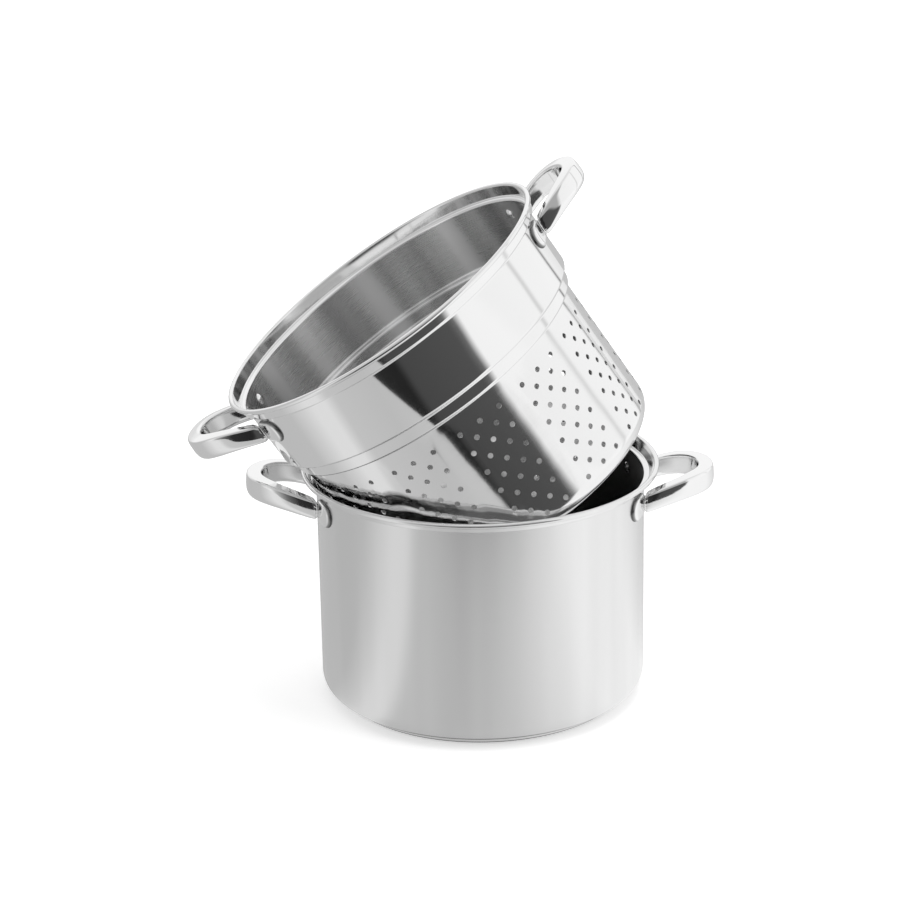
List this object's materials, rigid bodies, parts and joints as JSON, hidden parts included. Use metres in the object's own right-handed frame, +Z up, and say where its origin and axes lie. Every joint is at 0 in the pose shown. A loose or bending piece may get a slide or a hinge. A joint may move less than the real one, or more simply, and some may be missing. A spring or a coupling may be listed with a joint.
{
  "type": "pasta pot with strainer insert",
  "caption": "Deep stainless pasta pot with a wrapped disc base and loop handles, and a perforated strainer insert with its own loop handles, which leans in the pot's mouth and lifts out.",
  "frame": {"origin": "centre of the base disc's underside, on the pot's axis", "axes": "+Z up along the pot's axis, X through the pot's two handles with +X to the viewer's right, -Y towards the viewer"},
  "size_m": [0.3805, 0.2667, 0.3956],
  "materials": {
    "satin_steel": "satin, brushed round the wall",
    "polished_steel": "mirror polished outside, brushed inside",
    "polished_handle": "mirror polished",
    "aluminium_core": "plain, hidden inside the base",
    "rivet_steel": "polished head"
  },
  "bodies": {
    "pot": {"pot_shell": "satin_steel", "base_core": "aluminium_core", "base_cap": "satin_steel", "pot_handle_left": "polished_handle", "pot_handle_right": "polished_handle", "pot_plate_left_front": "polished_handle", "pot_plate_left_rear": "polished_handle", "pot_plate_right_front": "polished_handle", "pot_plate_right_rear": "polished_handle", "pot_rivet_left_front": "rivet_steel", "pot_rivet_left_rear": "rivet_steel", "pot_rivet_right_front": "rivet_steel", "pot_rivet_right_rear": "rivet_steel"},
    "insert": {"insert_shell": "polished_steel", "insert_handle_left": "polished_handle", "insert_handle_right": "polished_handle", "insert_plate_left_front": "polished_handle", "insert_plate_left_rear": "polished_handle", "insert_plate_right_front": "polished_handle", "insert_plate_right_rear": "polished_handle", "insert_rivet_left_front": "rivet_steel", "insert_rivet_left_rear": "rivet_steel", "insert_rivet_right_front": "rivet_steel", "insert_rivet_right_rear": "rivet_steel"}
  },
  "joints": [
    {"name": "insert_lift", "type": "slide", "parent": "pot", "child": "insert", "axis": [-0.5501, -0.0384, 0.8342], "range_m": [0, 0.15]}
  ]
}
